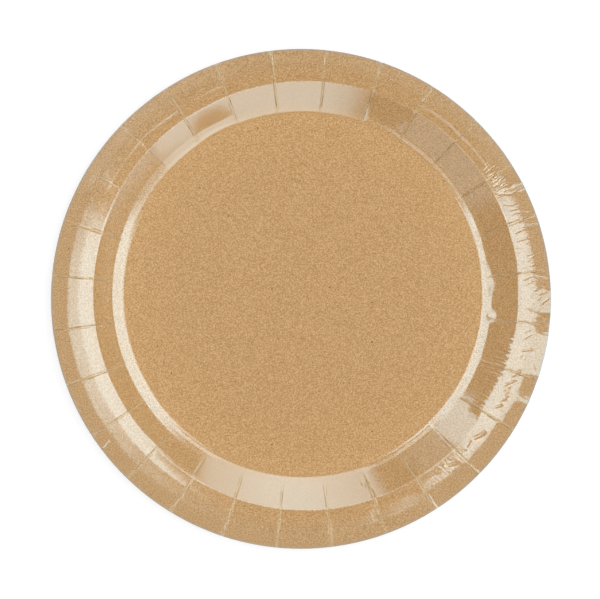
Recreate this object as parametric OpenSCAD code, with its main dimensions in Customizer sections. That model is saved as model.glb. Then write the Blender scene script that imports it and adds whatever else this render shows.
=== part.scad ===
// Round disposable plate, pressed from one disc of brown kraft board with a clear gloss film on top.
// The flat disc is drawn up into a wall and a rim, and its spare length is gathered in pleats pressed flat.
// The pressed form sits a little off the centre of the cut disc, so the rim is wider on one side.

/* [Board] */
// Diameter of the cut outline
plate_d = 230; // [170:1:300]
// Thickness of the board with its film
board_t = 0.45; // [0.3:0.05:0.8]
// How far the pressed form sits to the right of the cut outline's centre
press_shift_x = 1.8; // [-4:0.1:4]
// How far the pressed form sits behind the cut outline's centre
press_shift_y = 1.75; // [-4:0.1:4]

/* [Pressed form] */
// Overall height from the table to the rim's top face
plate_h = 13.5; // [10:0.5:20]
// Width of the brim, from the shoulder to the cut outline
brim_w = 6.7; // [5:0.1:15]
// Slope of the brim in degrees
brim_tilt = 1.5; // [0:0.5:5]
// Radius of the shoulder, the soft bend where the rim flattens into the brim
shoulder_r = 12; // [6:1:24]
// Width of the collar, from the crease to the shoulder
collar_w = 4; // [3:0.1:8]
// Slope of the collar in degrees
collar_tilt = 8.5; // [6:0.5:10]
// Width of the shelf, from the ring to the crease
shelf_w = 5.8; // [4:0.1:12]
// Slope of the shelf in degrees
shelf_tilt = 12; // [11:0.5:18]
// Radius of the ring, the crisp bend where the wall turns into the rim
ring_r = 1.2; // [0.5:0.1:3]
// Width of the wall seen from above, from the foot to the ring
wall_w = 12.5; // [10:0.5:20]
// Radius of the foot, the bend between the well and the wall
foot_r = 8; // [3:0.5:10]

/* [Pleats] */
// Number of pleats round the plate
pleat_count = 28; // [12:1:48]
// Direction of the first pleat in degrees from the right
pleat_turn = 7.1; // [0:0.1:12]
// Width of a pleat at the cut edge
pleat_w = 1.5; // [0.8:0.1:3]
// How far a pressed pleat stands above the top face
pleat_rise = 0.2; // [0.1:0.05:0.5]
// How far a pressed pleat stands below the under face
pleat_sink = 0.1; // [0.05:0.05:0.3]
// Length over which a pleat grows out of the foot
pleat_run = 6; // [3:0.5:10]

/* [Film wrinkles] */
// Number of wrinkles in the loose film on the rim
wrinkle_count = 24; // [4:1:40]
// Direction of the first wrinkle in degrees from the right
wrinkle_from = -57; // [-90:1:-20]
// Direction of the last wrinkle
wrinkle_to = 32; // [0:1:90]
// Width of a wrinkle
wrinkle_w = 0.9; // [0.5:0.1:2]
// How far a wrinkle stands above the top face
wrinkle_rise = 0.15; // [0.1:0.05:0.4]
// Length of the longest wrinkle
wrinkle_l = 11; // [6:0.5:14]
// Largest angle between a wrinkle and the radius through it
wrinkle_slant = 28; // [0:1:45]

/* [Hidden] */
$fn = 180;
kraft = "#c49d6e";

// Number of straight steps in each bend of the section
foot_steps = 5;
ring_steps = 2;
shoulder_steps = 2;
// Share of the board's thickness at which a pleat or wrinkle starts, inside the board
buried = 0.4;
// Extra length and height by which a cutting shape passes what it cuts
pass = 2;
// Turn between one wrinkle's slant or length and the next, which never falls in step with the pleats
wrinkle_step = 97;
// Share of its length that the shortest wrinkle loses
wrinkle_loss = 0.35;
// Length over which a wrinkle grows out of the rim
wrinkle_run = 2.5;

press_shift = [press_shift_x, press_shift_y, 0];
reach_r = plate_d / 2 + norm(press_shift) + pass;

// Corners of the section on the under face, as if its bends were sharp, and the wall's slope
shoulder = [plate_d / 2 - brim_w, plate_h - board_t - brim_w * tan(brim_tilt)];
crease = [shoulder.x - collar_w, shoulder.y - collar_w * tan(collar_tilt)];
ring = [crease.x - shelf_w, crease.y - shelf_w * tan(shelf_tilt)];
foot = [ring.x - wall_w, 0];
reach = [reach_r, shoulder.y + (reach_r - shoulder.x) * tan(brim_tilt)];
wall_tilt = atan2(ring.y, wall_w);

function heading(a) = [cos(a), sin(a)];
function normal(a) = [-sin(a), cos(a)];

// Arc that rounds a corner of the section, as points that each carry their slope
function bend(corner, tilt_in, tilt_out, radius, steps) =
    let (side = tilt_out > tilt_in ? 1 : -1)
    let (start = corner - radius * tan(abs(tilt_out - tilt_in) / 2) * heading(tilt_in))
    let (centre = start + side * radius * normal(tilt_in))
    [
        for (i = [0:steps])
            let (tilt = tilt_in + (tilt_out - tilt_in) * i / steps)
            concat(centre - side * radius * normal(tilt), tilt)
    ];

// The under face from the foot outwards, first along the foot and wall, then along the rim
foot_bend = bend(foot, 0, wall_tilt, foot_r, foot_steps);
ring_bend = bend(ring, wall_tilt, shelf_tilt, ring_r, ring_steps);
crease_point = concat(crease, (shelf_tilt + collar_tilt) / 2);
shoulder_bend = bend(shoulder, collar_tilt, brim_tilt, shoulder_r, shoulder_steps);
rim_line = concat([ring_bend[ring_steps]], [crease_point], shoulder_bend, [concat(reach, brim_tilt)]);
formed_line = concat(foot_bend, [for (i = [0:ring_steps - 1]) ring_bend[i]], rim_line);
whole_line = concat([[0, 0, 0]], formed_line);

// Point of the section at a distance above the under face
function lifted(point, distance) = [point.x, point.y] + distance * normal(point.z);

// Share from 0 to 1 by which a gather has grown at a point of its line
function grown(line, point, run) = min(1, (point.x - line[0].x) / run);

// Band along a line of the section that starts inside the board and grows past both of its faces
module gather_band(line, run, rise, sink) {
    low = [
        for (i = [0:len(line) - 1])
            let (g = grown(line, line[i], run))
            lifted(line[i], board_t * buried * (1 - g) - sink * g)
    ];
    high = [
        for (i = [len(line) - 1:-1:0])
            let (g = grown(line, line[i], run))
            lifted(line[i], board_t * (1 - buried * (1 - g)) + rise * g)
    ];
    polygon(concat(low, high));
}

module pressed() {
    translate(press_shift)
        rotate_extrude()
            children();
}

// The board itself, one even thickness from the middle of the well to past the cut outline
module board() {
    under = [for (p = whole_line) lifted(p, 0)];
    over = [for (i = [len(whole_line) - 1:-1:0]) lifted(whole_line[i], board_t)];
    pressed()
        polygon(concat(under, over));
}

// Wedge that keeps one pleat, wider towards the cut outline
module pleat_ray() {
    root_r = foot.x - foot_r - norm(press_shift);
    translate([0, 0, -pass])
        linear_extrude(plate_h + 2 * pass)
            polygon([
                [root_r, -pleat_w * root_r / plate_d],
                [reach_r, -pleat_w * reach_r / plate_d],
                [reach_r, pleat_w * reach_r / plate_d],
                [root_r, pleat_w * root_r / plate_d]
            ]);
}

// Pleats pressed flat, which run straight towards the centre of the cut disc
module pleats() {
    intersection() {
        pressed()
            gather_band(formed_line, pleat_run, pleat_rise, pleat_sink);
        for (i = [0:pleat_count - 1])
            rotate(pleat_turn + i * 360 / pleat_count)
                pleat_ray();
    }
}

// Slab that keeps one wrinkle, laid across the rim at its own slant
module wrinkle_ray(index) {
    length = wrinkle_l * (1 - wrinkle_loss * (1 + cos(index * wrinkle_step)) / 2);
    middle_r = ring.x + wrinkle_run + wrinkle_l / 2;
    translate([middle_r, 0, plate_h / 2])
        rotate(wrinkle_slant * sin(index * wrinkle_step))
            cube([length, wrinkle_w, plate_h + 2 * pass], center = true);
}

// Wrinkles in the film where it lies loose on the rim
module wrinkles() {
    intersection() {
        pressed()
            gather_band(rim_line, wrinkle_run, wrinkle_rise, -board_t * buried);
        for (i = [0:wrinkle_count - 1])
            rotate(wrinkle_from + i * (wrinkle_to - wrinkle_from) / (wrinkle_count - 1))
                wrinkle_ray(i);
    }
}

// The cut disc's outline, which trims the pressed form
module cut_outline() {
    translate([0, 0, -pass])
        cylinder(d = plate_d, h = plate_h + 2 * pass);
}

module plate() {
    color(kraft)
        intersection() {
            union() {
                board();
                pleats();
                wrinkles();
            }
            cut_outline();
        }
}

plate();
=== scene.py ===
import math
import bpy
import numpy as np
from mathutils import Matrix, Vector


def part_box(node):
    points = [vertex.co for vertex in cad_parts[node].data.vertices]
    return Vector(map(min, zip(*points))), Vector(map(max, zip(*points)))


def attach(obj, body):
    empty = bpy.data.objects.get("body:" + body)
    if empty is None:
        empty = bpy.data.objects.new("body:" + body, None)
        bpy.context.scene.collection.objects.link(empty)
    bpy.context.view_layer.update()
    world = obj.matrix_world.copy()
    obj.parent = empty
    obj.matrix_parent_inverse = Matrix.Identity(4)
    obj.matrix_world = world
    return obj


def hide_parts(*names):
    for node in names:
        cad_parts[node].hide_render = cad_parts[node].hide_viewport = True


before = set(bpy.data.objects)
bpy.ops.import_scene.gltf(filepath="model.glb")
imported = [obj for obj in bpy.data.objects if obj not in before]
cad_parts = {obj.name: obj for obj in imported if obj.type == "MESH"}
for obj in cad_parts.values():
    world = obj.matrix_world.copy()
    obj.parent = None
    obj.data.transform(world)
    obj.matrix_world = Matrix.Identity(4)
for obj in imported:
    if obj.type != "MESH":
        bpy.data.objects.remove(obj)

scene = bpy.context.scene
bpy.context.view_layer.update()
# a millimetre in metres, and the one colour that several lights share
mm = 0.001
white = (1.0, 1.0, 1.0, 1.0)

# the plate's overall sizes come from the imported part, in metres
nodeLow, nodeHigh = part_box("plate")
plateRadius = (nodeHigh[0] - nodeLow[0]) / 2
print("frame loaded, plate radius", round(plateRadius, 4))


# Camera straight above, far enough back for the cut outline to fill the circle that it fills in the photo
photo = {
    "width": 600,            # pixels
    "height": 599,
    "circleX": 300.43,       # middle of the cut outline, in pixels from the middle of the first column
    "circleY": 298.33,       # and from the middle of the first row
    "circleRadius": 249.86,  # its radius in pixels
    "lens": 180.0,           # millimetres
    "sensor": 36.0,
    "clipEnd": 20.0,         # metres
}


def addCamera(rimHeight):
    # distance: the width of the view at the rim, times the lens over the sensor
    metresPerPixel = plateRadius / photo["circleRadius"]
    distance = metresPerPixel * photo["width"] * photo["lens"] / photo["sensor"]
    camData = bpy.data.cameras.new("camera")
    camData.lens = photo["lens"]
    camData.sensor_width = photo["sensor"]
    camData.clip_end = photo["clipEnd"]
    cam = bpy.data.objects.new("camera", camData)
    cam.location = (
        ((photo["width"] - 1) / 2 - photo["circleX"]) * metresPerPixel,
        (photo["circleY"] - (photo["height"] - 1) / 2) * metresPerPixel,
        rimHeight + distance,
    )
    scene.collection.objects.link(cam)
    scene.camera = cam
    print("camera at height", round(cam.location.z, 3))


# The pressed board. Lengths in millimetres, angles in degrees counted from the right towards the back
board = {
    "thickness": 0.45,
    "height": 13.5,          # table to the rim's top face
    "footRadius": 9.1,
    "wallWidth": 12.45,      # sharp foot corner to ring, seen from above
    "ring": 98.5,            # radius of the crisp bend at the top of the wall
    "ringSoftness": 0.55,    # half the width of its bend
    "shelfTilt": (13.5, 11.0),  # just outside the ring and just inside the crease
    "crease": 103.8,         # radius of the soft crease between shelf and collar
    "collarTilt": 8.5,
    "shoulder": 108.3,       # radius where the collar flattens into the brim
    "shoulderSoftness": 0.9,  # half the width of its bend
    "brimTilt": 1.5,
    "waver": 0.3,            # how far crease and shoulder stray from their circles
    "waverSeed": 5,
    "ownShoulderFade": 0.6,  # degrees beside a pleat over which a panel's own shoulder sets in
    "levelPower": 4,         # the higher, the closer to the ring the wall makes up for a softer bend
    "roundEdge": 0.05,       # how far the cut edge bulges between its two faces
    "sharpAngle": 60.0,      # degrees between faces from which an edge is drawn sharp
    # how far foot, ring, crease and shoulder sit off the middle of the cut outline
    "footShift": (0.95, 2.07),
    "ringShift": (2.30, 1.45),
    "creaseShift": (1.45, 2.06),
    "shoulderShift": (0.60, 0.0),
}

pleat = {
    "count": 28,
    "turn": 7.1,
    "sway": -0.4,            # pleats lean a little to one side of an even spacing
    "swayFrom": 20.0,
    "halfWidth": (0.28, 0.70),  # between the middle and the fold line on each side
    "rise": 0.055,
    "groove": 0.07,          # depth of a fold line
    "grooveWidth": 0.30,
    "start": 85.5,           # radius where a pleat begins
    "run": 4.0,              # length over which it grows
    "seed": 11,
    "riseSpread": (0.6, 1.4),  # share of the rise that a pleat gets
    "strongFold": (0.7, 1.2),  # share of the groove that one of its fold lines gets
    "weakFold": (0.25, 0.8),   # and the other
    "foldMean": 0.72,        # a fold line comes and goes about this share
    "foldWaves": ((0.3, 1.3), (0.25, 0.55)),  # by these shares, in waves of these lengths
    "foldDrift": (0.10, 3.1),  # and strays this far to its sides, in waves of this length
    "foldRange": (0.1, 1.2),
    "foldSharpness": 1.6,
    "underShare": 0.6,       # share of a pleat that shows on the under face
}

# Panels that differ, by the number of the pleat at their lower angle: extra tilt of the wall, degrees over
# which it fades towards the lower and the higher angle, and how far the shoulder sits out
panels = {
    4: (2.2, 1.0, 1.0, 0.0),
    8: (1.7, 1.8, 2.5, 0.0),
    9: (-0.4, 1.0, 1.0, 0.0),
    22: (0.8, 1.0, 1.0, 0.0),
    23: (-0.3, 1.0, 1.0, -2.4),
    24: (-1.5, 0.8, 2.0, -1.7),
    25: (0.6, 1.0, 1.0, 0.0),
}
panelTurn = {
    "hinge": 0.8,            # how far outside the middle of the wall a panel turns
    "toe": 1.0,              # how far outside the foot's start it begins to move
}

# Stretches of the brim that turn up: angle from and to, width of their soft ends, extra tilt
upturns = [
    (-18.6, -8.0, 1.2, 7.0),
    (-4.0, 2.6, 2.0, 6.5),
    (26.2, 28.0, 0.8, 6.5),
    (-25.4, -23.6, 0.8, 6.0),
]

# Stretches where the ring bends more softly: angle from and to, width of their soft ends, length inwards
# and the share of it that comes and goes
softRing = [
    (-32.5, -23.0, 5.0, 2.6, 0.15),
    (-23.5, -10.0, 3.0, 2.8, 0.60),
    (-57.5, -45.2, 1.0, 0.7, 0.0),
    (222.0, 242.0, 4.0, 0.6, 0.0),
]
# That share comes and goes in so many waves round the plate
raggedWaves = (157, 233, 311, 419)

# Low swellings along the crease
creaseSwell = {
    # angle from and to, width of their soft ends, height
    "stretches": [
        (34.0, 76.0, 6.0, 0.27),
        (108.0, 153.0, 6.0, 0.25),
        (288.0, 302.0, 4.0, 0.15),
    ],
    "half": (2.6, 12.5),     # their half widths inwards and outwards
    "outside": 0.4,          # how far their crest lies outside the crease
    "stray": 0.5,            # and how far it strays from there
    "mean": 0.9,             # the height comes and goes about this share
    "swing": 0.2,            # by this much
}

# Small nicks pressed up away from the loose film: angle and radius of both ends, height and half width
nicks = [
    (216.5, 108.8, 217.3, 114.0, 0.13, 0.45),
    (302.8, 110.8, 302.9, 113.6, 0.10, 0.40),
    (238.2, 114.4, 238.4, 111.6, 0.12, 0.45),
    (251.2, 114.6, 251.7, 110.5, 0.12, 0.45),
    (287.4, 88.9, 291.3, 93.8, 0.16, 0.70),
]

# Long wrinkles in the loose film on the right of the rim, given in the same way
longWrinkles = [
    (34.0, 107.5, 32.8, 113.0, 0.12, 0.50),
    (32.1, 108.0, 31.6, 113.4, 0.12, 0.45),
    (31.3, 102.6, 31.0, 106.0, 0.13, 0.45),
    (30.2, 102.3, 29.9, 106.5, 0.13, 0.50),
    (29.2, 107.5, 27.6, 112.5, 0.20, 0.70),
    (28.0, 102.8, 26.0, 109.8, 0.14, 0.90),
    (25.2, 102.5, 23.6, 107.0, 0.10, 0.50),
    (23.0, 104.0, 22.4, 109.5, 0.10, 0.45),
    (21.8, 107.0, 20.7, 112.8, 0.28, 0.90),
    (19.6, 109.0, 19.5, 113.6, 0.30, 0.95),
    (18.2, 107.0, 17.6, 114.6, 0.38, 1.05),
    (17.1, 103.3, 17.3, 108.3, 0.13, 0.55),
    (15.8, 108.0, 16.2, 111.5, 0.10, 0.45),
    (14.8, 102.6, 15.0, 108.2, 0.14, 0.55),
    (13.6, 106.0, 14.2, 109.5, 0.10, 0.45),
    (8.6, 102.2, 7.0, 107.0, 0.12, 0.45),
    (5.7, 106.5, 4.6, 114.2, 0.38, 1.05),
    (4.7, 102.2, 5.8, 108.0, 0.13, 0.50),
    (7.0, 106.5, 6.8, 110.0, 0.12, 0.60),
    (3.2, 102.5, 4.4, 107.2, 0.12, 0.45),
    (4.4, 108.6, 3.9, 111.3, 0.10, 0.45),
    (1.7, 106.2, 3.3, 113.2, 0.20, 0.75),
    (0.7, 108.4, 1.8, 114.2, 0.14, 0.55),
    (-0.6, 108.4, 0.9, 110.8, 0.11, 0.45),
    (-1.8, 109.5, 0.5, 114.7, 0.15, 0.60),
    (-2.2, 102.2, -3.6, 112.0, 0.13, 1.00),
    (-3.9, 109.0, -5.3, 113.4, 0.13, 0.55),
    (-5.4, 101.8, -6.6, 109.8, 0.15, 0.65),
    (-9.4, 102.6, -7.4, 107.0, 0.13, 0.50),
    (-11.2, 102.0, -8.6, 107.8, 0.14, 0.60),
    (-13.6, 102.2, -12.0, 111.0, 0.12, 1.20),
    (-16.1, 102.8, -14.0, 105.6, 0.12, 0.90),
    (-15.3, 110.0, -17.2, 113.0, 0.13, 0.55),
    (-20.4, 101.8, -18.4, 104.8, 0.13, 0.50),
    (-20.2, 102.3, -19.5, 107.4, 0.10, 0.50),
    (-22.0, 104.8, -20.8, 108.4, 0.08, 0.45),
    (-23.2, 103.2, -21.6, 107.0, 0.08, 0.45),
    (-24.6, 101.8, -23.4, 105.2, 0.11, 0.50),
    (-26.6, 101.4, -25.2, 104.6, 0.10, 0.50),
    (-28.4, 101.0, -27.4, 104.2, 0.10, 0.50),
    (-35.4, 105.3, -39.8, 101.6, 0.42, 1.50),
    (-39.2, 101.6, -42.6, 102.4, 0.34, 1.25),
    (-42.2, 103.2, -44.2, 101.2, 0.30, 1.10),
    (-45.5, 105.3, -49.6, 101.4, 0.30, 1.20),
    (-46.0, 103.2, -48.2, 100.9, 0.15, 0.70),
    (-50.5, 103.4, -54.5, 101.6, 0.12, 0.70),
]

longHeight = 0.8             # share of the heights above at which the long wrinkles are pressed
longWidth = 0.7              # and share of their half widths
ridgeEnd = 0.3               # share of its length over which a ridge rises at each end

# Families of finer wrinkles: how many, stretch of angles, radii where they start, lengths, mean lean from
# the radius and its spread in degrees, heights and half widths
wrinkleFamilies = {
    "combed": {
        "count": 10, "angles": (-30.5, -20.5), "start": (101.0, 103.0), "length": (3.5, 7.5),
        "lean": 50.0, "spread": 8.0, "height": (0.13, 0.20), "halfWidth": (0.55, 0.70), "seed": 21,
    },
    "fringe": {
        "count": 20, "angles": (27.5, 35.5), "start": (102.5, 106.8), "length": (2.2, 4.0),
        "lean": 6.0, "spread": 14.0, "height": (0.035, 0.07), "halfWidth": (0.26, 0.34), "seed": 22,
    },
    "outerTeeth": {
        "count": 17, "angles": (9.0, 26.5), "start": (107.0, 108.4), "length": (1.6, 2.6),
        "lean": 0.0, "spread": 10.0, "height": (0.03, 0.06), "halfWidth": (0.26, 0.34), "seed": 23,
    },
    "silk": {
        "count": 34, "angles": (-20.0, 24.0), "start": (101.5, 106.5), "length": (3.0, 7.0),
        "lean": -5.0, "spread": 22.0, "height": (0.015, 0.035), "halfWidth": (0.40, 0.65), "seed": 25,
    },
}

# Shallow swellings: angle, radius, size round the plate, size across it, height
swellings = [
    (4.4, 88.0, 6.2, 2.0, 0.32),
    (-5.2, 87.9, 3.6, 1.9, 0.50),
    (19.6, 87.8, 1.6, 1.5, 0.12),
    (-18.6, 86.6, 2.0, 1.6, 0.16),
    (-34.5, 93.6, 3.0, 1.6, -0.15),
]

grid = {
    "panelStep": 2.0,        # degrees between columns on plain panels
    "filmStep": 0.125,       # degrees between columns where the film is wrinkled
    "filmFrom": -58.0,
    "filmTo": 36.5,
    "pleatOffsets": (0.0, 0.15, 0.30, 0.45, 0.60, 0.75, 0.95, 1.2),  # millimetres each side of a pleat
    "nickStep": 0.12,        # degrees between columns across a nick
    "nickReach": 0.6,        # degrees by which they pass its ends
    "clearOfPleat": 1.3,     # plain columns keep so many times the widest offset from a pleat
    "clearOfNick": 0.5,      # and so many degrees from a nick's columns
    "wellRows": (20.0, 45.0, 65.0, 76.0, 81.0),
    "footRows": 10,
    "wallRows": 8,
    "ringRows": (3.0, 2.2, 1.5, 0.9),  # millimetres inside the ring
    "bendRows": (-1.0, -0.33, 0.33, 1.0),  # across its bend, in shares of its softness
    "rimRows": 30,
    "underStep": 5,          # the under face keeps one row in so many
}


def pleatAngles():
    # evenly spaced, plus a slow sway round the plate
    even = pleat["turn"] + np.arange(pleat["count"]) * 360.0 / pleat["count"]
    return (even + pleat["sway"] * np.cos(np.radians(even - pleat["swayFrom"]))) % 360.0


def columnAngles():
    # plain columns all round, close ones over the wrinkled film and beside each pleat
    plain = np.arange(0.0, 360.0, grid["panelStep"])
    onFilm = np.arange(grid["filmFrom"], grid["filmTo"], grid["filmStep"]) % 360.0
    offsets = np.degrees(np.array(grid["pleatOffsets"]) / board["shoulder"])
    offsets = np.concatenate([-offsets[1:], offsets])
    beside = (pleatAngles()[:, None] + offsets[None, :]).ravel() % 360.0
    onFilm = onFilm[nearestTurn(onFilm, pleatAngles()) > offsets.max()]
    reach = grid["nickReach"]
    across = [np.arange(nick[0] - reach, nick[2] + reach, grid["nickStep"]) for nick in nicks]
    across = np.concatenate(across)
    across = across[nearestTurn(across, pleatAngles()) > offsets.max()]
    inFilm = ((plain - grid["filmFrom"]) % 360.0) < (grid["filmTo"] - grid["filmFrom"])
    apart = nearestTurn(plain, pleatAngles()) > offsets.max() * grid["clearOfPleat"]
    apart = apart & (nearestTurn(plain, across) > grid["clearOfNick"])
    return np.unique(np.round(np.concatenate([plain[apart & ~inFilm], onFilm, across, beside]), 3))


def signedTurn(angles, angle):
    # turn in degrees from one angle to others, between -180 and 180
    return (angles - angle + 180.0) % 360.0 - 180.0


def nearestTurn(angles, others):
    # smallest turn in degrees from each angle to any of the others
    return np.abs(signedTurn(angles[:, None], others[None, :])).min(axis=1)


def smooth(value):
    # rises from 0 to 1 with level ends as value goes from 0 to 1
    held = np.clip(value, 0.0, 1.0)
    return held * held * (3.0 - 2.0 * held)


def ramp(value, start, end):
    # 0 up to start and 1 past end, straight between
    return np.clip((value - start) / (end - start), 0.0, 1.0)


def stretch(angles, fromAngle, toAngle, soft):
    # 1 inside a stretch of angles and 0 outside, with soft ends
    away = np.abs(signedTurn(angles, (fromAngle + toAngle) / 2))
    return smooth(((toAngle - fromAngle) / 2 - away) / soft + 0.5)


def waver(angles, seed, counts=(7, 17, 31, 59)):
    # strays between about -1 and 1 round the plate: the sum of four waves, each with its own start, over
    # the size that this sum usually reaches
    draw = np.random.default_rng(seed)
    usual = 2.5
    total = np.zeros(len(angles))
    for waves in counts:
        total += np.sin(np.radians(angles) * waves + draw.uniform(0.0, 2.0 * math.pi))
    return total / usual


def wallTilt():
    # slope in degrees that lifts the ring to its height over the wall's width
    shelfMiddle = sum(board["shelfTilt"]) / 2
    shelfRise = (board["crease"] - board["ring"]) * math.tan(math.radians(shelfMiddle))
    collarRise = (board["shoulder"] - board["crease"]) * math.tan(math.radians(board["collarTilt"]))
    brimRise = (plateRadius / mm - board["shoulder"]) * math.tan(math.radians(board["brimTilt"]))
    rise = board["height"] - board["thickness"] - shelfRise - collarRise - brimRise
    return math.degrees(math.atan2(rise, board["wallWidth"]))


def footEnds():
    # radii where the bend between well and wall begins and ends
    wall = math.radians(wallTilt())
    start = board["ring"] - board["wallWidth"] - board["footRadius"] * math.tan(wall / 2)
    return start, start + board["footRadius"] * math.sin(wall)


def fromMiddle(x, y, shift):
    # distance from a middle that sits off the middle of the cut outline
    return np.hypot(x - shift[0], y - shift[1])


def sectionTilt(angles, x, y, fromPress):
    # tilt of the section in degrees: level in the well, then one change of slope at each bend
    wall = wallTilt()
    footStart, footEnd = footEnds()
    soft = board["ringSoftness"]
    shelfIn, shelfOut = board["shelfTilt"]
    panel, toLow, toHigh = panelOf(angles)
    shoulderOut = panelValues()[panel, 3] * smooth(np.minimum(toLow, toHigh) / board["ownShoulderFade"])
    ringInner = board["ring"] - soft
    ragged = waver(angles, board["waverSeed"] + 4, raggedWaves)
    for fromAngle, toAngle, ends, inwards, share in softRing:
        comes = np.maximum(1.0 - share + share * ragged, 0.0)
        ringInner = ringInner - inwards * comes * stretch(angles, fromAngle, toAngle, ends)
    brimTilt = board["brimTilt"]
    for fromAngle, toAngle, ends, extra in upturns:
        brimTilt = brimTilt + extra * stretch(angles, fromAngle, toAngle, ends)
    crease = board["crease"] + board["waver"] * waver(angles, board["waverSeed"])
    fromCrease = fromMiddle(x, y, board["creaseShift"]) - crease
    shoulder = board["shoulder"] + shoulderOut + board["waver"] * waver(angles, board["waverSeed"] + 1)
    fromShoulder = fromMiddle(x, y, board["shoulderShift"]) - shoulder
    collar = board["collarTilt"]
    tilt = wall * ramp(fromPress, footStart, footEnd)
    tilt = tilt + (shelfIn - wall) * ramp(fromPress, ringInner, board["ring"] + soft)
    tilt = tilt + (shelfOut - shelfIn) * ramp(fromPress, board["ring"] + soft, board["crease"])
    tilt = tilt + (collar - shelfOut) * ramp(fromCrease, -soft, soft)
    soft = board["shoulderSoftness"]
    return tilt + (brimTilt - collar) * ramp(fromShoulder, -soft, soft)


def rayLength(angle, radius, shiftX, shiftY):
    # distance from the middle of the cut outline to a circle of that radius round a shifted middle
    along = shiftX * np.cos(angle) + shiftY * np.sin(angle)
    return along + np.sqrt(radius * radius - shiftX * shiftX - shiftY * shiftY + along * along)


def topGrid(angles):
    # rows run from the well to the cut edge and columns run round the plate
    theta = np.radians(angles)[None, :]
    footStart, footEnd = footEnds()
    pressed = np.concatenate([
        grid["wellRows"],
        np.linspace(footStart, footEnd, grid["footRows"]),
        np.linspace(footEnd, board["ring"] - grid["ringRows"][0], grid["wallRows"])[1:],
        board["ring"] - np.array(grid["ringRows"][1:]),
        board["ring"] + board["ringSoftness"] * np.array(grid["bendRows"]),
    ])[:, None]
    share = np.clip(pressed / footStart, 0.0, 1.0)
    up = np.clip((pressed - footEnd) / (board["ring"] - footEnd), 0.0, 1.0)
    shiftX = share * (board["footShift"][0] + up * (board["ringShift"][0] - board["footShift"][0]))
    shiftY = share * (board["footShift"][1] + up * (board["ringShift"][1] - board["footShift"][1]))
    inner = rayLength(theta, pressed, shiftX, shiftY)
    outward = (np.arange(grid["rimRows"]) + 1.0)[:, None] / grid["rimRows"]
    outer = inner[-1:] + (plateRadius / mm - inner[-1:]) * outward
    radius = np.concatenate([inner, outer])
    rimRows = np.ones((grid["rimRows"], 1))
    shiftX = np.concatenate([shiftX, rimRows * board["ringShift"][0]])
    shiftY = np.concatenate([shiftY, rimRows * board["ringShift"][1]])
    x = radius * np.cos(theta)
    y = radius * np.sin(theta)
    fromPress = fromMiddle(x, y, (shiftX, shiftY))
    azimuth = np.arctan2(y - shiftY, x - shiftX)
    return radius, x, y, fromPress, azimuth


def pleatRelief(angles, radius):
    # a pleat is a low band between two fold lines, one stronger than the other, grown from the foot out
    draw = np.random.default_rng(pleat["seed"])
    relief = np.zeros_like(radius)
    fold = np.zeros_like(radius)
    grown = smooth((radius - pleat["start"]) / pleat["run"])
    for middle in pleatAngles():
        half = draw.uniform(*pleat["halfWidth"])
        sides = [draw.uniform(*pleat["strongFold"]), draw.uniform(*pleat["weakFold"])]
        draw.shuffle(sides)
        gap = np.radians(signedTurn(angles, middle)) * radius
        band = smooth((half - np.abs(gap)) / pleat["grooveWidth"] + 1.0)
        relief += grown * pleat["rise"] * draw.uniform(*pleat["riseSpread"]) * band
        for side, strength in zip((-1.0, 1.0), sides):
            # a fold line comes and goes along its length
            starts = draw.uniform(0.0, 2.0 * math.pi, 3)
            along = pleat["foldMean"]
            for (share, length), start in zip(pleat["foldWaves"], starts):
                along = along + share * np.sin(radius / length + start)
            drift = pleat["foldDrift"][0] * np.sin(radius / pleat["foldDrift"][1] + starts[2])
            away = np.abs(gap - side * half - drift) / pleat["grooveWidth"]
            line = np.clip(pleat["foldSharpness"] * (1.0 - away), 0.0, 1.0)
            line = line * np.clip(along, *pleat["foldRange"]) * strength * grown
            relief -= pleat["groove"] * line
            fold = np.maximum(fold, np.minimum(line, 1.0))
    return relief, fold


def panelOf(angles):
    # number of the panel under each column, and the degrees from the column to the pleats on both sides
    edges = pleatAngles()
    panel = (np.searchsorted(edges, angles, side="right") - 1) % pleat["count"]
    toLow = (angles - edges[panel]) % 360.0
    toHigh = (edges[(panel + 1) % pleat["count"]] - angles) % 360.0
    return panel, toLow, toHigh


def panelValues():
    # one row of values for every panel
    values = np.tile([0.0, 1.0, 1.0, 0.0], (pleat["count"], 1))
    for number, own in panels.items():
        values[number] = own
    return values


def panelRelief(angles, fromPress):
    # a panel turns about the middle of its wall: it dips at one end of the wall and stands out at the other
    panel, toLow, toHigh = panelOf(angles)
    own, fadeLow, fadeHigh = panelValues()[panel, :3].T
    fade = smooth(toLow / fadeLow) * smooth(toHigh / fadeHigh)
    middle = board["ring"] - board["wallWidth"] / 2 + panelTurn["hinge"]
    half = board["ring"] - middle
    shape = np.interp(
        fromPress,
        [footEnds()[0] + panelTurn["toe"], middle - half, board["ring"], board["crease"]],
        [0.0, -1.0, 1.0, 0.0],
    )
    lift = np.tan(np.radians(own * fade))[None, :] * half / math.cos(math.radians(wallTilt()))
    return lift * shape


def ridge(angles, radius, start, end, height, halfWidth):
    # a rounded ridge along a straight line between two points given by angle and radius: the square of a
    # cosine across it, with soft ends
    reach = board["shoulder"]
    along = np.radians(end[0] - start[0]) * reach
    out = end[1] - start[1]
    length = math.hypot(along, out)
    unit = (along / length, out / length)
    gap = np.radians(signedTurn(angles, start[0])) * reach
    outward = radius - start[1]
    ahead = (gap * unit[0] + outward * unit[1]) / length
    across = gap * unit[1] - outward * unit[0]
    ends = smooth(ahead / ridgeEnd) * smooth((1.0 - ahead) / ridgeEnd)
    crest = np.cos(np.clip(across / halfWidth, -1.0, 1.0) * math.pi / 2) ** 2
    return height * crest * ends


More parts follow.
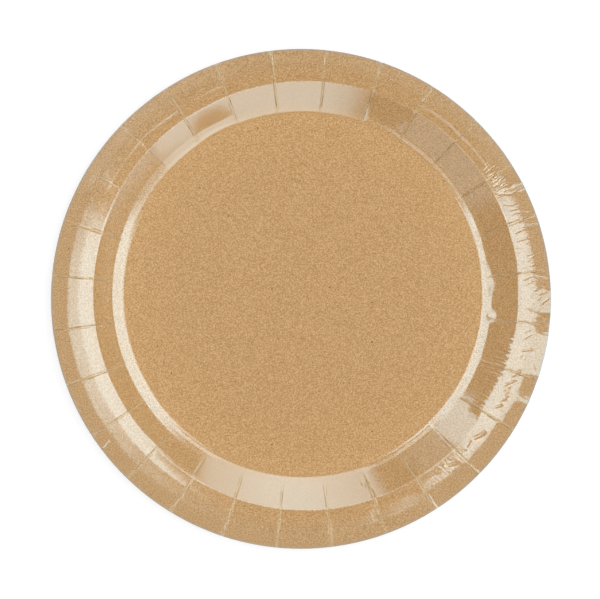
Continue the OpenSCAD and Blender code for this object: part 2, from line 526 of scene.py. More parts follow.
def filmRelief(angles, radius):
    # the long wrinkles and the nicks as listed, then the families of finer wrinkles between them
    relief = np.zeros_like(radius)
    pressed = [(*row[:4], row[4] * longHeight, row[5] * longWidth) for row in longWrinkles]
    for fromAngle, fromRadius, toAngle, toRadius, height, halfWidth in pressed + nicks:
        relief += ridge(angles, radius, (fromAngle, fromRadius), (toAngle, toRadius), height, halfWidth)
    for family in wrinkleFamilies.values():
        draw = np.random.default_rng(family["seed"])
        count = family["count"]
        # they stand at even steps, each up to half a degree off its place
        places = np.linspace(*family["angles"], count) + draw.uniform(-0.5, 0.5, count)
        for angle in places:
            start = draw.uniform(*family["start"])
            length = draw.uniform(*family["length"])
            lean = math.radians(family["lean"] + draw.uniform(-1.0, 1.0) * family["spread"])
            turned = math.degrees(length * math.sin(lean) / start)
            end = (angle + turned, start + length * math.cos(lean))
            height = draw.uniform(*family["height"])
            relief += ridge(angles, radius, (angle, start), end, height, draw.uniform(*family["halfWidth"]))
    return relief


def creaseRelief(angles, x, y):
    # a low swelling along the crease that strays a little from its circle: the square of a cosine across
    # it, wider outwards than inwards
    stray = creaseSwell["stray"] * waver(angles, board["waverSeed"] + 2)
    crest = board["crease"] + creaseSwell["outside"] + stray
    fromCrest = fromMiddle(x, y, board["creaseShift"]) - crest
    height = np.zeros(len(angles))
    for fromAngle, toAngle, ends, swell in creaseSwell["stretches"]:
        height += swell * stretch(angles, fromAngle, toAngle, ends)
    swing = creaseSwell["swing"] * waver(angles, board["waverSeed"] + 3)
    height = height * (creaseSwell["mean"] + swing)
    half = np.where(fromCrest < 0.0, *creaseSwell["half"])
    return height * np.cos(np.clip(fromCrest / half, -1.0, 1.0) * math.pi / 2) ** 2


def swellingRelief(angles, radius):
    # low rounded swellings: a bell curve round the plate times a bell curve across it
    relief = np.zeros_like(radius)
    for angle, middle, sizeRound, sizeAcross, height in swellings:
        gap = np.radians(signedTurn(angles, angle)) * radius
        relief += height * np.exp(-(gap / sizeRound) ** 2 - ((radius - middle) / sizeAcross) ** 2)
    return relief


def gridFaces(rows, columns, first, flip):
    # quads between neighbouring rows, closed round the plate
    row = np.arange(rows - 1)[:, None] * columns
    here = np.arange(columns)[None, :]
    there = (here + 1) % columns
    corners = [row + here, row + columns + here, row + columns + there, row + there]
    quads = np.stack([first + corner for corner in corners], axis=-1).reshape(-1, 4)
    return quads[:, ::-1] if flip else quads


def poleFaces(columns, first, pole, flip):
    # a fan that closes the middle of the well
    here = np.arange(columns)
    there = (here + 1) % columns
    fan = np.stack([np.full(columns, pole), first + here, first + there], axis=-1)
    return fan[:, ::-1] if flip else fan


def makeMesh(name, vertices, faceSets, slots):
    # one mesh from several sets of faces, each with its own material slot
    mesh = bpy.data.meshes.new(name)
    faces = []
    slotOfFace = []
    for faceSet, slotIndex in zip(faceSets, slots):
        faces.extend(faceSet.tolist())
        slotOfFace.append(np.full(len(faceSet), slotIndex, dtype=np.int32))
    mesh.from_pydata(vertices.tolist(), [], faces)
    mesh.polygons.foreach_set("material_index", np.concatenate(slotOfFace))
    mesh.polygons.foreach_set("use_smooth", np.ones(len(mesh.polygons), dtype=bool))
    mesh.update()
    return mesh


def addAttribute(mesh, name, values):
    # one number at each vertex, which a material reads by its name
    layer = mesh.attributes.new(name, "FLOAT", "POINT")
    layer.data.foreach_set("value", values.astype(np.float32))


def levelled(rise):
    # the ring lies at one level: where its bend is softer, the upper wall is steeper to make up for it
    ringRow = len(rise) - grid["rimRows"] - 1
    ringLevel = rise[ringRow].mean()
    share = (rise[:ringRow] / rise[ringRow]) ** board["levelPower"]
    below = rise[:ringRow] + (ringLevel - rise[ringRow]) * share
    rise = np.concatenate([below, rise[ringRow:] + ringLevel - rise[ringRow]])
    return rise * ((board["height"] - board["thickness"]) / rise[-1].mean())


def boardFaces(rows, columns, underRows):
    # over face with its pole, under face with its pole, and the two strips of the cut edge
    overEnd = (rows - 1) * columns
    edgeFirst = rows * columns
    underFirst = edgeFirst + columns
    underEnd = underFirst + (underRows - 1) * columns
    poleFirst = underFirst + underRows * columns
    here = np.arange(columns)
    there = (here + 1) % columns
    upperEdge = np.stack([overEnd + here, edgeFirst + here, edgeFirst + there, overEnd + there], axis=-1)
    lowerEdge = np.stack([edgeFirst + here, underEnd + here, underEnd + there, edgeFirst + there], axis=-1)
    return [
        gridFaces(rows, columns, 0, False),
        poleFaces(columns, 0, poleFirst, False),
        gridFaces(underRows, columns, underFirst, True),
        poleFaces(columns, underFirst, poleFirst + 1, True),
        np.concatenate([upperEdge, lowerEdge]),
    ]


# Where the finish changes, in millimetres unless the line says degrees
masks = {
    "edgeWidth": 1.3,        # darkened board inside the cut edge
    "brimRamp": 3.0,         # over which the brim's finish sets in outside the crease
    "looseInset": 2.0,       # degrees by which the loose film keeps inside the finely divided stretch
    "looseEnds": 4.0,        # degrees
    "looseOver": 2.0,        # over which it ends outside the shoulder
    "drawnStretches": ((72.0, 137.0), (238.5, 292.0)),  # degrees where the wall's film is drawn smooth
    "drawnEnds": 2.0,        # degrees
    "drawnFoot": (1.0, 3.0),  # over which it sets in outside the foot's start
}


def addMasks(mesh, angles, radius, fromPress, fold, keep):
    # one value a vertex for each change of finish: over face, cut edge, under face and the two poles
    columns = len(angles)
    nearEdge = (radius - plateRadius / mm + masks["edgeWidth"]) / masks["edgeWidth"]
    brim = smooth((fromPress - board["crease"]) / masks["brimRamp"])
    looseFrom = grid["filmFrom"] + masks["looseInset"]
    looseTo = grid["filmTo"] - masks["looseInset"]
    loose = stretch(angles, looseFrom, looseTo, masks["looseEnds"]) * smooth(fromPress - board["ring"])
    within = (board["shoulder"] + masks["looseOver"] - fromPress) / masks["looseOver"]
    stretches = masks["drawnStretches"]
    drawn = sum(stretch(angles, fromAngle, toAngle, masks["drawnEnds"]) for fromAngle, toAngle in stretches)
    footStart = footEnds()[0]
    drawn = drawn * ramp(fromPress, footStart + masks["drawnFoot"][0], footStart + masks["drawnFoot"][1])
    values = {
        "foldLine": (fold, 0.0),
        "cutEdge": (smooth(nearEdge), 1.0),
        "brim": (brim, 1.0),
        "looseFilm": (loose * smooth(within), 0.0),
        "drawnFilm": (drawn * (fromPress < board["ring"]), 0.0),
    }
    for name, (mask, atEdge) in values.items():
        edge = np.full(columns, atEdge)
        addAttribute(mesh, name, np.concatenate([mask.ravel(), edge, mask[keep].ravel(), [0.0, 0.0]]))


def addPlate():
    # the section's surface, moved along its own normal by everything that stands out of it or dips in
    angles = columnAngles()
    radius, x, y, fromPress, azimuth = topGrid(angles)
    tilt = np.radians(sectionTilt(angles, x, y, fromPress))
    # height adds up along each column from the tilt halfway between its rows
    steps = np.tan((tilt[1:] + tilt[:-1]) / 2) * np.diff(fromPress, axis=0)
    rise = levelled(np.concatenate([np.zeros_like(steps[:1]), np.cumsum(steps, axis=0)]))
    place = np.stack([x, y, board["thickness"] + rise], axis=-1)
    normal = np.stack([
        -np.sin(tilt) * np.cos(azimuth),
        -np.sin(tilt) * np.sin(azimuth),
        np.cos(tilt),
    ], axis=-1)
    pleats, fold = pleatRelief(angles, radius)
    shape = panelRelief(angles, fromPress) + creaseRelief(angles, x, y) + swellingRelief(angles, radius)
    over = place + normal * (shape + pleats + filmRelief(angles, radius))[..., None]
    # the under face follows at the board's thickness, with fewer rows and without the film's wrinkles
    rows, columns = radius.shape
    keep = np.append(np.arange(0, rows - 1, grid["underStep"]), rows - 1)
    under = place + normal * (shape - board["thickness"] - pleat["underShare"] * pleats)[..., None]
    under = under[keep]
    under[..., 2] = np.maximum(under[..., 2], 0.0)
    edge = (over[-1] * 0.5 + under[-1] * 0.5)[None]
    edge[..., :2] *= 1.0 + board["roundEdge"] / (plateRadius / mm)
    vertices = np.concatenate([
        over.reshape(-1, 3),
        edge.reshape(-1, 3),
        under.reshape(-1, 3),
        [[0.0, 0.0, board["thickness"]], [0.0, 0.0, 0.0]],
    ]) * mm
    # slots: filmed board above, bare board below, cut edge between
    mesh = makeMesh("pressed_board", vertices, boardFaces(rows, columns, len(keep)), [0, 0, 1, 1, 2])
    addMasks(mesh, angles, radius, fromPress, fold, keep)
    mesh.set_sharp_from_angle(angle=math.radians(board["sharpAngle"]))
    piece = bpy.data.objects.new("pressed_board", mesh)
    scene.collection.objects.link(piece)
    print("pressed board", rows, "rows", columns, "columns, wall tilt", round(wallTilt(), 1))
    return piece


# Shader helpers
def addNode(tree, kind, settings=None, **inputs):
    # a node with its settings and inputs, where a low line in a name stands for a space
    node = tree.nodes.new(kind)
    for key, value in (settings or {}).items():
        setattr(node, key, value)
    for key, value in inputs.items():
        setInput(tree, node, key.replace("_", " "), value)
    return node


def setInput(tree, node, key, value):
    # an output is linked to the input and anything else becomes its value
    socket = node.inputs[int(key)] if str(key).isdigit() else node.inputs[key]
    if isinstance(value, bpy.types.NodeSocket):
        tree.links.new(value, socket)
    else:
        socket.default_value = value


def addMath(tree, operation, first, second=0.0, third=0.0):
    # one step of arithmetic, as its result
    node = addNode(tree, "ShaderNodeMath", {"operation": operation})
    for index, value in enumerate((first, second, third)):
        setInput(tree, node, index, value)
    return node.outputs[0]


def vectorMath(tree, operation, *values):
    # one step of vector arithmetic, as its node
    node = addNode(tree, "ShaderNodeVectorMath", {"operation": operation})
    for index, value in enumerate(values):
        setInput(tree, node, index, value)
    return node


def product(tree, first, second):
    # one value times another
    return addMath(tree, "MULTIPLY", first, second)


def aboutZero(tree, value):
    # a noise runs from 0 to 1, and less a half it swings about 0
    return addMath(tree, "SUBTRACT", value, 0.5)


def vertexValue(tree, name):
    # the number that addAttribute gave each vertex
    return addNode(tree, "ShaderNodeAttribute", {"attribute_name": name}).outputs["Fac"]


def mixColors(tree, share, first, second, blend="MIX"):
    # the second colour laid over the first by a share
    node = addNode(tree, "ShaderNodeMix", {"data_type": "RGBA", "blend_type": blend})
    setInput(tree, node, 0, share)
    setInput(tree, node, 6, first)
    setInput(tree, node, 7, second)
    return node.outputs[2]


def addGroup(name, inputs, outputs):
    # a node group whose sockets come from two lists of name, kind and, for inputs, the starting value
    tree = bpy.data.node_groups.new(name, "ShaderNodeTree")
    for socketName, kind, value in inputs:
        socket = tree.interface.new_socket(socketName, in_out="INPUT", socket_type=kind)
        if value is not None:
            socket.default_value = value
    for socketName, kind in outputs:
        tree.interface.new_socket(socketName, in_out="OUTPUT", socket_type=kind)
    return tree, tree.nodes.new("NodeGroupInput"), tree.nodes.new("NodeGroupOutput")


def groupNode(tree, group, values):
    # one use of a node group, with its inputs set by name
    node = tree.nodes.new("ShaderNodeGroup")
    node.node_tree = group
    for key, value in values.items():
        setInput(tree, node, key, value)
    return node


def noise(tree, vector, scale, detail, roughness=0.5, distortion=0.0):
    # cloudy values from 0 to 1, with so many of them to the metre as the scale says
    node = addNode(
        tree, "ShaderNodeTexNoise", Vector=vector, Scale=scale, Detail=detail,
        Roughness=roughness, Distortion=distortion,
    )
    return node.outputs["Fac"]


def stretched(tree, vector, angle, scale):
    # the same coordinates turned about Z and squeezed, so that a noise on them draws fibres or layers
    node = addNode(tree, "ShaderNodeMapping", Vector=vector, Rotation=(0.0, 0.0, angle), Scale=scale)
    return node.outputs[0]


def outwardLines(tree, vector, squeeze):
    # coordinates on which a noise draws lines outwards: the direction times the ring's size, plus the
    # distance from the middle squeezed
    flat = vectorMath(tree, "MULTIPLY", vector, (1.0, 1.0, 0.0)).outputs[0]
    length = vectorMath(tree, "LENGTH", flat).outputs["Value"]
    unit = vectorMath(tree, "NORMALIZE", flat).outputs[0]
    ringSize = board["ring"] * mm
    onRing = vectorMath(tree, "MULTIPLY", unit, (ringSize, ringSize, 0.0)).outputs[0]
    outward = addNode(tree, "ShaderNodeCombineXYZ", Z=product(tree, length, squeeze)).outputs[0]
    return vectorMath(tree, "ADD", onRing, outward).outputs[0]


# Kraft pulp, with the scales of its noises to the metre
kraftPulp = {
    "paper": (0.55, 0.33, 0.15, 1.0),
    "tint": (0.50, 0.38, 0.25, 1.0),
    "mottleScale": 140.0,
    "mottleDetail": 3.0,
    "mottleRoughness": 0.55,
    "grainScale": 1600.0,
    "fibreSets": ((0.5, 520.0), (2.1, 480.0)),  # turn in radians and scale
    "fibreSqueeze": (1.0, 4.0, 1.0),
    "fibreMean": 0.58,       # about the mean of the stronger of the two sets
    "fibreHeight": 0.8,      # how far fibres stand out, against the grain
    "fleckScale": 150.0,
    "fleckSize": 0.055,      # its radius as a share of a cell
    "fleckRarity": 0.945,    # share of the cells without a fleck
    "fleckPaper": (0.10, 0.055, 0.03, 1.0),
    "fleckPale": 0.3,        # darkness of the palest fleck
    "fleckSpread": 0.7,      # and how much darker the darkest is
}


def makeKraftGroup():
    # kraft pulp: mottling, grain and crossing fibres add or take away some of a pale tint, then dark flecks
    tree, given, out = addGroup(
        "kraftPulp",
        [
            ("Vector", "NodeSocketVector", None),
            ("Paper", "NodeSocketColor", kraftPulp["paper"]),
            ("Tint", "NodeSocketColor", kraftPulp["tint"]),
            ("Mottle", "NodeSocketFloat", 0.2),
            ("Grain", "NodeSocketFloat", 0.8),
            ("Fibre", "NodeSocketFloat", 0.8),
            ("Flecks", "NodeSocketFloat", 0.5),
        ],
        [("Color", "NodeSocketColor"), ("Height", "NodeSocketFloat")],
    )
    vector = given.outputs["Vector"]
    cloud = noise(
        tree, vector, kraftPulp["mottleScale"], kraftPulp["mottleDetail"], kraftPulp["mottleRoughness"],
    )
    grain = noise(tree, vector, kraftPulp["grainScale"], 0.0)
    fibreA, fibreB = [
        noise(tree, stretched(tree, vector, turn, kraftPulp["fibreSqueeze"]), scale, 1.0)
        for turn, scale in kraftPulp["fibreSets"]
    ]
    fibres = addMath(tree, "SUBTRACT", addMath(tree, "MAXIMUM", fibreA, fibreB), kraftPulp["fibreMean"])
    shade = product(tree, aboutZero(tree, cloud), given.outputs["Mottle"])
    shade = addMath(tree, "MULTIPLY_ADD", aboutZero(tree, grain), given.outputs["Grain"], shade)
    shade = addMath(tree, "MULTIPLY_ADD", fibres, given.outputs["Fibre"], shade)
    tinted = vectorMath(tree, "MULTIPLY_ADD", given.outputs["Tint"], shade, given.outputs["Paper"])
    fleck = product(tree, fleckSpots(tree, vector), given.outputs["Flecks"])
    spotted = mixColors(tree, fleck, tinted.outputs[0], kraftPulp["fleckPaper"])
    height = addMath(tree, "MULTIPLY_ADD", fibres, kraftPulp["fibreHeight"], grain)
    tree.links.new(spotted, out.inputs["Color"])
    tree.links.new(height, out.inputs["Height"])
    return tree


def fleckSpots(tree, vector):
    # a fleck sits in one cell in many, is a spot a fraction of the cell wide and has its own darkness
    flat = {"feature": "F1", "voronoi_dimensions": "2D"}
    cells = addNode(tree, "ShaderNodeTexVoronoi", flat, Vector=vector, Scale=kraftPulp["fleckScale"])
    spot = addMath(tree, "LESS_THAN", cells.outputs["Distance"], kraftPulp["fleckSize"])
    pick = addNode(tree, "ShaderNodeSeparateColor", Color=cells.outputs["Color"])
    chosen = addMath(tree, "GREATER_THAN", pick.outputs[0], kraftPulp["fleckRarity"])
    spread = kraftPulp["fleckSpread"]
    darkness = addMath(tree, "MULTIPLY_ADD", pick.outputs[1], spread, kraftPulp["fleckPale"])
    return product(tree, product(tree, spot, chosen), darkness)


def kraftNode(tree, group, vector, finish):
    # one use of the pulp group, with a finish's own paper colour and shares
    return groupNode(tree, group, {"Vector": vector, "Paper": finish["paper"], **finish["pulp"]})


def startMaterial(name):
    # an empty material with one surface shader
    material = bpy.data.materials.new(name)
    material.use_nodes = True
    tree = material.node_tree
    tree.nodes.clear()
    shader = tree.nodes.new("ShaderNodeBsdfPrincipled")
    output = tree.nodes.new("ShaderNodeOutputMaterial")
    tree.links.new(shader.outputs[0], output.inputs["Surface"])
    return material, tree, shader


film = {
    "paper": (0.551, 0.327, 0.142, 1.0),
    "pulp": {"Mottle": 0.07, "Grain": 0.85, "Fibre": 0.07, "Flecks": 0.95},
    "brimShade": (0.915, 0.92, 0.93, 1.0),  # painted shade: the paper's colour is multiplied by this on the brim
    # painted shade: the dark colour laid into the fold lines, in place of shade in their grooves
    "foldShade": (0.24, 0.15, 0.08, 1.0),
    "edgePaper": (0.40, 0.33, 0.25, 1.0),
    "drawnShare": 0.8,        # share of the pulp's pattern that film drawn smooth hides
    "foldShare": 0.8,         # shares of the painted shade in fold lines and of the cut edge's darker colour that they show
    "edgeShare": 0.8,
    "roughness": 0.12,
    "roughnessSpread": 0.05,
    "smearScale": 90.0,       # to the metre, as every scale here
    "foldRoughness": 0.8,
    "brimRoughness": 0.05,
    "ior": 1.5,
    "grainBump": 0.000004,    # metres
    "streakBump": 0.00003,
    "streakSqueeze": 0.18,
    "streakScale": 1000.0,
    "crinkleBump": 0.00012,
    "crinkleSqueeze": 0.35,
    "crinkleScale": 750.0,
    "crinkleDistortion": 0.6,
    "patchScale": 110.0,
    "patchFrom": 0.46,        # value of the noise from which the film crinkles
    "patchSharpness": 5.0,
}


def filmColor(tree, pulp, drawn, brim, foldLine, cutEdge):
    # the pulp, plainer where the film is drawn smooth, painted shade on the brim and in fold lines, darker
    # cut edge
    color = mixColors(tree, product(tree, drawn, film["drawnShare"]), pulp.outputs["Color"], film["paper"])
    # painted shade on the brim
    color = mixColors(tree, brim, color, film["brimShade"], "MULTIPLY")
    # painted shade in the fold lines
    color = mixColors(tree, product(tree, foldLine, film["foldShare"]), color, film["foldShade"])
    return mixColors(tree, product(tree, cutEdge, film["edgeShare"]), color, film["edgePaper"])


def filmRoughness(tree, place, brim, foldLine):
    # a smeared gloss that is duller in fold lines and a little duller on the brim
    smear = aboutZero(tree, noise(tree, place, film["smearScale"], 2.0))
    rough = addMath(tree, "MULTIPLY_ADD", smear, film["roughnessSpread"], film["roughness"])
    rough = addMath(tree, "MULTIPLY_ADD", foldLine, film["foldRoughness"], rough)
    return addMath(tree, "MULTIPLY_ADD", brim, film["brimRoughness"], rough)


def filmHeight(tree, place, pulp, brim, loose):
    # the pulp's grain, plus streaks on the brim, plus crinkles in patches of the loose film; both noises
    # swing about 0, so that they leave no slope where their masks end
    streaks = noise(tree, outwardLines(tree, place, film["streakSqueeze"]), film["streakScale"], 1.0)
    streaks = product(tree, product(tree, aboutZero(tree, streaks), brim), film["streakBump"])
    crinkle = noise(
        tree, outwardLines(tree, place, film["crinkleSqueeze"]), film["crinkleScale"], 1.0,
        distortion=film["crinkleDistortion"],
    )
    patches = noise(tree, place, film["patchScale"], 1.0)
    patches = addMath(tree, "MAXIMUM", addMath(tree, "SUBTRACT", patches, film["patchFrom"]), 0.0)
    patches = addMath(tree, "MINIMUM", product(tree, patches, film["patchSharpness"]), 1.0)
    crinkle = product(tree, aboutZero(tree, crinkle), product(tree, loose, patches))
    both = addMath(tree, "ADD", streaks, product(tree, crinkle, film["crinkleBump"]))
    return addMath(tree, "MULTIPLY_ADD", pulp.outputs["Height"], film["grainBump"], both)


def makeFilmMaterial(kraft):
    # glossy film over kraft board: fine fibres press through it, and the brim has faint streaks outwards
    material, tree, shader = startMaterial("filmed kraft board")
    place = tree.nodes.new("ShaderNodeTexCoord").outputs["Object"]
    pulp = kraftNode(tree, kraft, place, film)
    foldLine = vertexValue(tree, "foldLine")
    brim = vertexValue(tree, "brim")
    color = filmColor(
        tree, pulp, vertexValue(tree, "drawnFilm"), brim, foldLine, vertexValue(tree, "cutEdge"),
    )
    height = filmHeight(tree, place, pulp, brim, vertexValue(tree, "looseFilm"))
    bump = addNode(tree, "ShaderNodeBump", Strength=1.0, Distance=1.0, Height=height)
    tree.links.new(color, shader.inputs["Base Color"])
    tree.links.new(filmRoughness(tree, place, brim, foldLine), shader.inputs["Roughness"])
    tree.links.new(bump.outputs[0], shader.inputs["Normal"])
    shader.inputs["IOR"].default_value = film["ior"]
    return material


def finishMatt(tree, shader, finish, color, height):
    # matt board: its colour, its low gloss, and the pulp's height as a bump
    bump = addNode(tree, "ShaderNodeBump", Strength=1.0, Distance=finish["bump"], Height=height)
    tree.links.new(color, shader.inputs["Base Color"])
    tree.links.new(bump.outputs[0], shader.inputs["Normal"])
    shader.inputs["Roughness"].default_value = finish["roughness"]
    shader.inputs["Specular IOR Level"].default_value = finish["specular"]


bare = {
    "paper": (0.50, 0.315, 0.155, 1.0),
    "pulp": {"Mottle": 0.22, "Grain": 0.80, "Fibre": 0.90, "Flecks": 1.0},
    # share of the painted shade in fold lines on the under face
    "foldShare": 0.35,
    "roughness": 0.85,
    "specular": 0.25,
    "bump": 0.00005,          # metres
}


def makeBareMaterial(kraft):
    # the under face is bare board, matt and a little fibrous
    material, tree, shader = startMaterial("bare kraft board")
    place = tree.nodes.new("ShaderNodeTexCoord").outputs["Object"]
    pulp = kraftNode(tree, kraft, place, bare)
    # painted shade: fold lines darkened in colour
    share = product(tree, vertexValue(tree, "foldLine"), bare["foldShare"])
    color = mixColors(tree, share, pulp.outputs["Color"], film["foldShade"])
    finishMatt(tree, shader, bare, color, pulp.outputs["Height"])
    return material


cut = {
    "paper": (0.42, 0.29, 0.17, 1.0),
    "pulp": {"Mottle": 0.3, "Grain": 0.8, "Fibre": 0.8, "Flecks": 0.5},
    "layers": (1.0, 1.0, 9.0),  # how far the pulp is squeezed, so that it lies in layers
    "roughness": 0.95,
    "specular": 0.1,
    "bump": 0.00006,          # metres
}


def makeCutMaterial(kraft):
    # the cut edge shows the pulp's layers, rough and a little paler in streaks
    material, tree, shader = startMaterial("cut board edge")
    place = tree.nodes.new("ShaderNodeTexCoord").outputs["Object"]
    pulp = kraftNode(tree, kraft, stretched(tree, place, 0.0, cut["layers"]), cut)
    finishMatt(tree, shader, cut, pulp.outputs["Color"], pulp.outputs["Height"])
    return material


# The studio as the film reflects it: box lights between two compass angles, with soft ends, and between a
# top and a foot counted from straight up, all in degrees, and the level of their light
studio = {
    "right": {"span": (-20.0, 57.0), "ends": (2.0, 2.0), "top": 15.5, "foot": 20.5, "level": 12.3},
    "rightFar": {"span": (-20.0, 46.0), "ends": (2.0, 3.0), "top": 20.5, "foot": 32.0, "level": 11.0},
    "rightLow": {"span": (-25.0, 47.0), "ends": (14.0, 14.0), "top": 32.0, "foot": 79.0, "level": 10.6},
    "rightTop": {"span": (-20.0, 36.0), "ends": (4.0, 6.0), "top": 7.0, "foot": 15.5, "level": 7.8},
    "rightFront": {"span": (290.0, 342.0), "ends": (10.0, 20.0), "top": 28.5, "foot": 52.0, "level": 2.0},
    "left": {"span": (122.0, 210.0), "ends": (3.0, 3.0), "top": 15.5, "foot": 20.5, "level": 11.3},
    "leftFar": {"span": (135.5, 207.0), "ends": (3.0, 3.0), "top": 20.5, "foot": 32.0, "level": 10.5},
    "leftLow": {"span": (136.0, 186.0), "ends": (5.0, 4.0), "top": 32.0, "foot": 64.0, "level": 10.5},
    "leftLowFront": {"span": (186.0, 207.0), "ends": (4.0, 6.0), "top": 32.0, "foot": 50.0, "level": 10.0},
    "leftTop": {"span": (123.0, 186.0), "ends": (2.0, 2.0), "top": 7.0, "foot": 15.5, "level": 10.0},
    "leftTopFront": {"span": (186.0, 209.0), "ends": (2.0, 5.0), "top": 11.0, "foot": 15.5, "level": 10.0},
    "leftFoot": {"span": (134.2, 148.5), "ends": (1.0, 2.0), "top": 64.0, "foot": 75.5, "level": 7.5},
    "leftFront": {"span": (200.0, 243.0), "ends": (4.0, 16.0), "top": 29.5, "foot": 52.0, "level": 3.5},
    "leftBack": {"span": (108.0, 123.0), "ends": (2.0, 2.0), "top": 36.0, "foot": 52.0, "level": 3.0},
    "leftBackLow": {"span": (123.0, 136.0), "ends": (2.0, 2.0), "top": 28.0, "foot": 50.0, "level": 6.0},
    "leftBackFoot": {"span": (123.0, 135.0), "ends": (2.0, 2.0), "top": 60.0, "foot": 80.0, "level": 1.4},
    "rightBackLow": {"span": (46.0, 62.0), "ends": (4.0, 3.0), "top": 28.0, "foot": 50.0, "level": 5.5},
    "rightBackFoot": {"span": (47.0, 60.0), "ends": (4.0, 2.0), "top": 60.0, "foot": 80.0, "level": 1.0},
    "front": {"span": (258.0, 315.7), "ends": (16.0, 2.0), "top": 31.0, "foot": 89.0, "level": 3.5},
    "frontWide": {"span": (254.0, 336.0), "ends": (6.0, 22.0), "top": 31.0, "foot": 89.0, "level": 2.8},
    "frontLeft": {"span": (207.0, 240.0), "ends": (6.0, 3.0), "top": 60.0, "foot": 89.0, "level": 1.9},
    "back": {"span": (59.5, 111.5), "ends": (3.0, 2.0), "top": 29.0, "foot": 85.0, "level": 5.2},
    "backMiddle": {"span": (72.0, 100.0), "ends": (24.0, 24.0), "top": 29.0, "foot": 85.0, "level": 3.0},
}
surround = {
    "lightColor": (0.60, 0.88, 1.0, 1.0),
    "glossLevel": 0.25,      # what the film reflects where no box light is
    "diffuseLevel": 0.347,
    "border": 1.5,           # degrees on each side of a top or foot over which a box light ends
}


def makeBoxLightGroup():
    # 1 inside a box of directions, falling to 0 over a soft border, and 0 below its foot or above its top
    tree, given, out = addGroup(
        "boxLight",
        [
            ("Direction", "NodeSocketVector", None),
            ("Toward", "NodeSocketVector", None),
            ("Half", "NodeSocketFloat", 30.0),
            ("Soft Low", "NodeSocketFloat", 4.0),
            ("Soft High", "NodeSocketFloat", 4.0),
            ("Top", "NodeSocketFloat", 10.0),
            ("Foot", "NodeSocketFloat", 60.0),
            ("Strength", "NodeSocketFloat", 1.0),
        ],
        [("Light", "NodeSocketFloat")],
    )
    # turn round the compass from the box's middle, and angle down from straight up
    flat = vectorMath(tree, "MULTIPLY", given.outputs["Direction"], (1.0, 1.0, 0.0)).outputs[0]
    unit = vectorMath(tree, "NORMALIZE", flat).outputs[0]
    dot = vectorMath(tree, "DOT_PRODUCT", unit, given.outputs["Toward"]).outputs["Value"]
    cross = vectorMath(tree, "CROSS_PRODUCT", given.outputs["Toward"], unit).outputs[0]
    side = addNode(tree, "ShaderNodeSeparateXYZ", Vector=cross).outputs["Z"]
    turn = addMath(tree, "DEGREES", addMath(tree, "ARCTAN2", side, dot))
    upward = addNode(tree, "ShaderNodeSeparateXYZ", Vector=given.outputs["Direction"]).outputs["Z"]
    down = addMath(tree, "DEGREES", addMath(tree, "ARCCOSINE", upward))
    highBorder = product(tree, given.outputs["Soft High"], 0.5)
    lowBorder = product(tree, given.outputs["Soft Low"], 0.5)
    highSide = upTo(tree, turn, given.outputs["Half"], highBorder)
    lowSide = upTo(tree, product(tree, turn, -1.0), given.outputs["Half"], lowBorder)
    below = upTo(tree, down, given.outputs["Foot"], surround["border"])
    top = product(tree, given.outputs["Top"], -1.0)
    above = upTo(tree, product(tree, down, -1.0), top, surround["border"])
    light = product(tree, product(tree, product(tree, highSide, lowSide), below), above)
    tree.links.new(product(tree, light, given.outputs["Strength"]), out.inputs["Light"])
    return tree


def upTo(tree, value, limit, border):
    # 1 up to a limit less its border, 0 past the limit plus its border, with a smooth slope between
    full = addMath(tree, "SUBTRACT", limit, border)
    none = addMath(tree, "ADD", limit, border)
    node = addNode(
        tree, "ShaderNodeMapRange", {"interpolation_type": "SMOOTHSTEP"},
        Value=value, From_Min=full, From_Max=none, To_Min=1.0, To_Max=0.0,
    )
    return node.outputs[0]


def makeWorld():
    # white for the camera, even soft light on the board, and the box lights for what the film reflects
    world = bpy.data.worlds.new("studio")
    scene.world = world
    world.use_nodes = True
    tree = world.node_tree
    tree.nodes.clear()
    coords = tree.nodes.new("ShaderNodeTexCoord")
    boxLight = makeBoxLightGroup()
    total = surround["glossLevel"]
    for light in studio.values():
        low, high = light["span"]
        angle = math.radians((low + high) / 2)
        node = groupNode(tree, boxLight, {
            "Direction": coords.outputs["Generated"],
            "Toward": (math.cos(angle), math.sin(angle), 0.0),
            "Half": (high - low) / 2, "Soft Low": light["ends"][0], "Soft High": light["ends"][1],
            "Top": light["top"], "Foot": light["foot"], "Strength": light["level"],
        })
        total = addMath(tree, "ADD", node.outputs["Light"], total)
    path = tree.nodes.new("ShaderNodeLightPath")
    gloss = addNode(tree, "ShaderNodeBackground", Color=surround["lightColor"], Strength=total)
    soft = addNode(tree, "ShaderNodeBackground", Color=white, Strength=surround["diffuseLevel"])
    blank = addNode(tree, "ShaderNodeBackground", Color=white, Strength=1.0)
    unseen = mixShaders(tree, path.outputs["Is Glossy Ray"], soft, gloss)
    seen = mixShaders(tree, path.outputs["Is Camera Ray"], unseen, blank)
    output = tree.nodes.new("ShaderNodeOutputWorld")
    tree.links.new(seen.outputs[0], output.inputs["Surface"])


def mixShaders(tree, share, first, second):
    # the first where the share is 0 and the second where it is 1
    node = tree.nodes.new("ShaderNodeMixShader")
    tree.links.new(share, node.inputs[0])
    tree.links.new(first.outputs[0], node.inputs[1])
    tree.links.new(second.outputs[0], node.inputs[2])
    return node


# Angles in degrees, lengths in metres, power in watts
lamps = {
    "softLamp": {"compass": 17.5, "down": 10.0, "distance": 6.0, "size": 4.1, "power": 272.0},
}


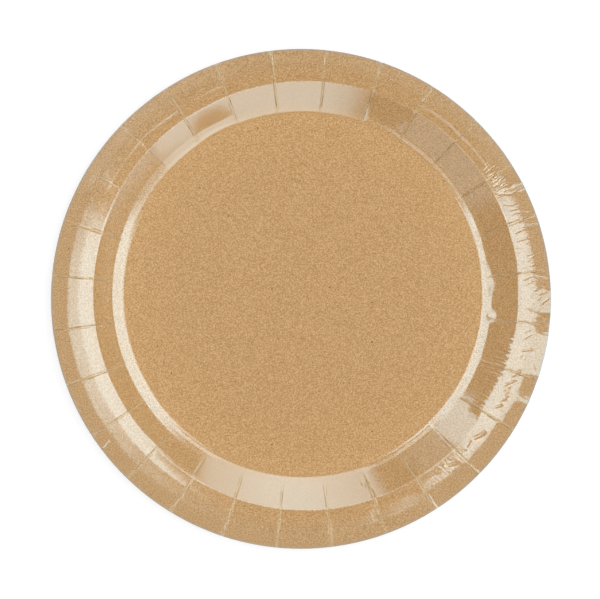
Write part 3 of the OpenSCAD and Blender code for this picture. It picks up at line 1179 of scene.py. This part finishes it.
def addLamps():
    # one large soft lamp a little right of straight above; what the film reflects comes from the world
    for name, lamp in lamps.items():
        compass = math.radians(lamp["compass"])
        down = math.radians(lamp["down"])
        data = bpy.data.lights.new(name, "AREA")
        data.shape = "SQUARE"
        data.size = lamp["size"]
        data.energy = lamp["power"]
        item = bpy.data.objects.new(name, data)
        item.location = (
            lamp["distance"] * math.sin(down) * math.cos(compass),
            lamp["distance"] * math.sin(down) * math.sin(compass),
            lamp["distance"] * math.cos(down),
        )
        item.rotation_euler = (0.0, down, compass)
        item.visible_camera = False
        item.visible_glossy = False
        scene.collection.objects.link(item)


table = {
    "half": 3.0,             # metres
    "level": -0.0002,
    "color": (0.30, 0.30, 0.30, 1.0),
    "glow": 0.78,            # what the camera sees on top of the lit colour, so that the table is white
}


def addTable():
    # a flat square under the plate: its lit colour, plus a glow that only the camera and the film see
    half = table["half"]
    level = table["level"]
    mesh = bpy.data.meshes.new("table_top")
    corners = [(-half, -half, level), (half, -half, level), (half, half, level), (-half, half, level)]
    mesh.from_pydata(corners, [], [(0, 1, 2, 3)])
    mesh.update()
    item = bpy.data.objects.new("table_top", mesh)
    scene.collection.objects.link(item)
    material = bpy.data.materials.new("white table")
    material.use_nodes = True
    tree = material.node_tree
    tree.nodes.clear()
    lit = addNode(tree, "ShaderNodeBsdfDiffuse", Color=table["color"])
    path = tree.nodes.new("ShaderNodeLightPath")
    seen = addMath(tree, "MAXIMUM", path.outputs["Is Camera Ray"], path.outputs["Is Glossy Ray"])
    glow = addNode(tree, "ShaderNodeEmission", Color=white, Strength=product(tree, seen, table["glow"]))
    both = tree.nodes.new("ShaderNodeAddShader")
    tree.links.new(lit.outputs[0], both.inputs[0])
    tree.links.new(glow.outputs[0], both.inputs[1])
    output = tree.nodes.new("ShaderNodeOutputMaterial")
    tree.links.new(both.outputs[0], output.inputs["Surface"])
    mesh.materials.append(material)


scene.view_settings.view_transform = "Standard"
addCamera(board["height"] * mm)
makeWorld()
addLamps()
addTable()
print("studio ready")

kraftGroup = makeKraftGroup()
plateBoard = addPlate()
plateBoard.data.materials.append(makeFilmMaterial(kraftGroup))
plateBoard.data.materials.append(makeBareMaterial(kraftGroup))
plateBoard.data.materials.append(makeCutMaterial(kraftGroup))
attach(plateBoard, "root")
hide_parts("plate")
print("materials ready")
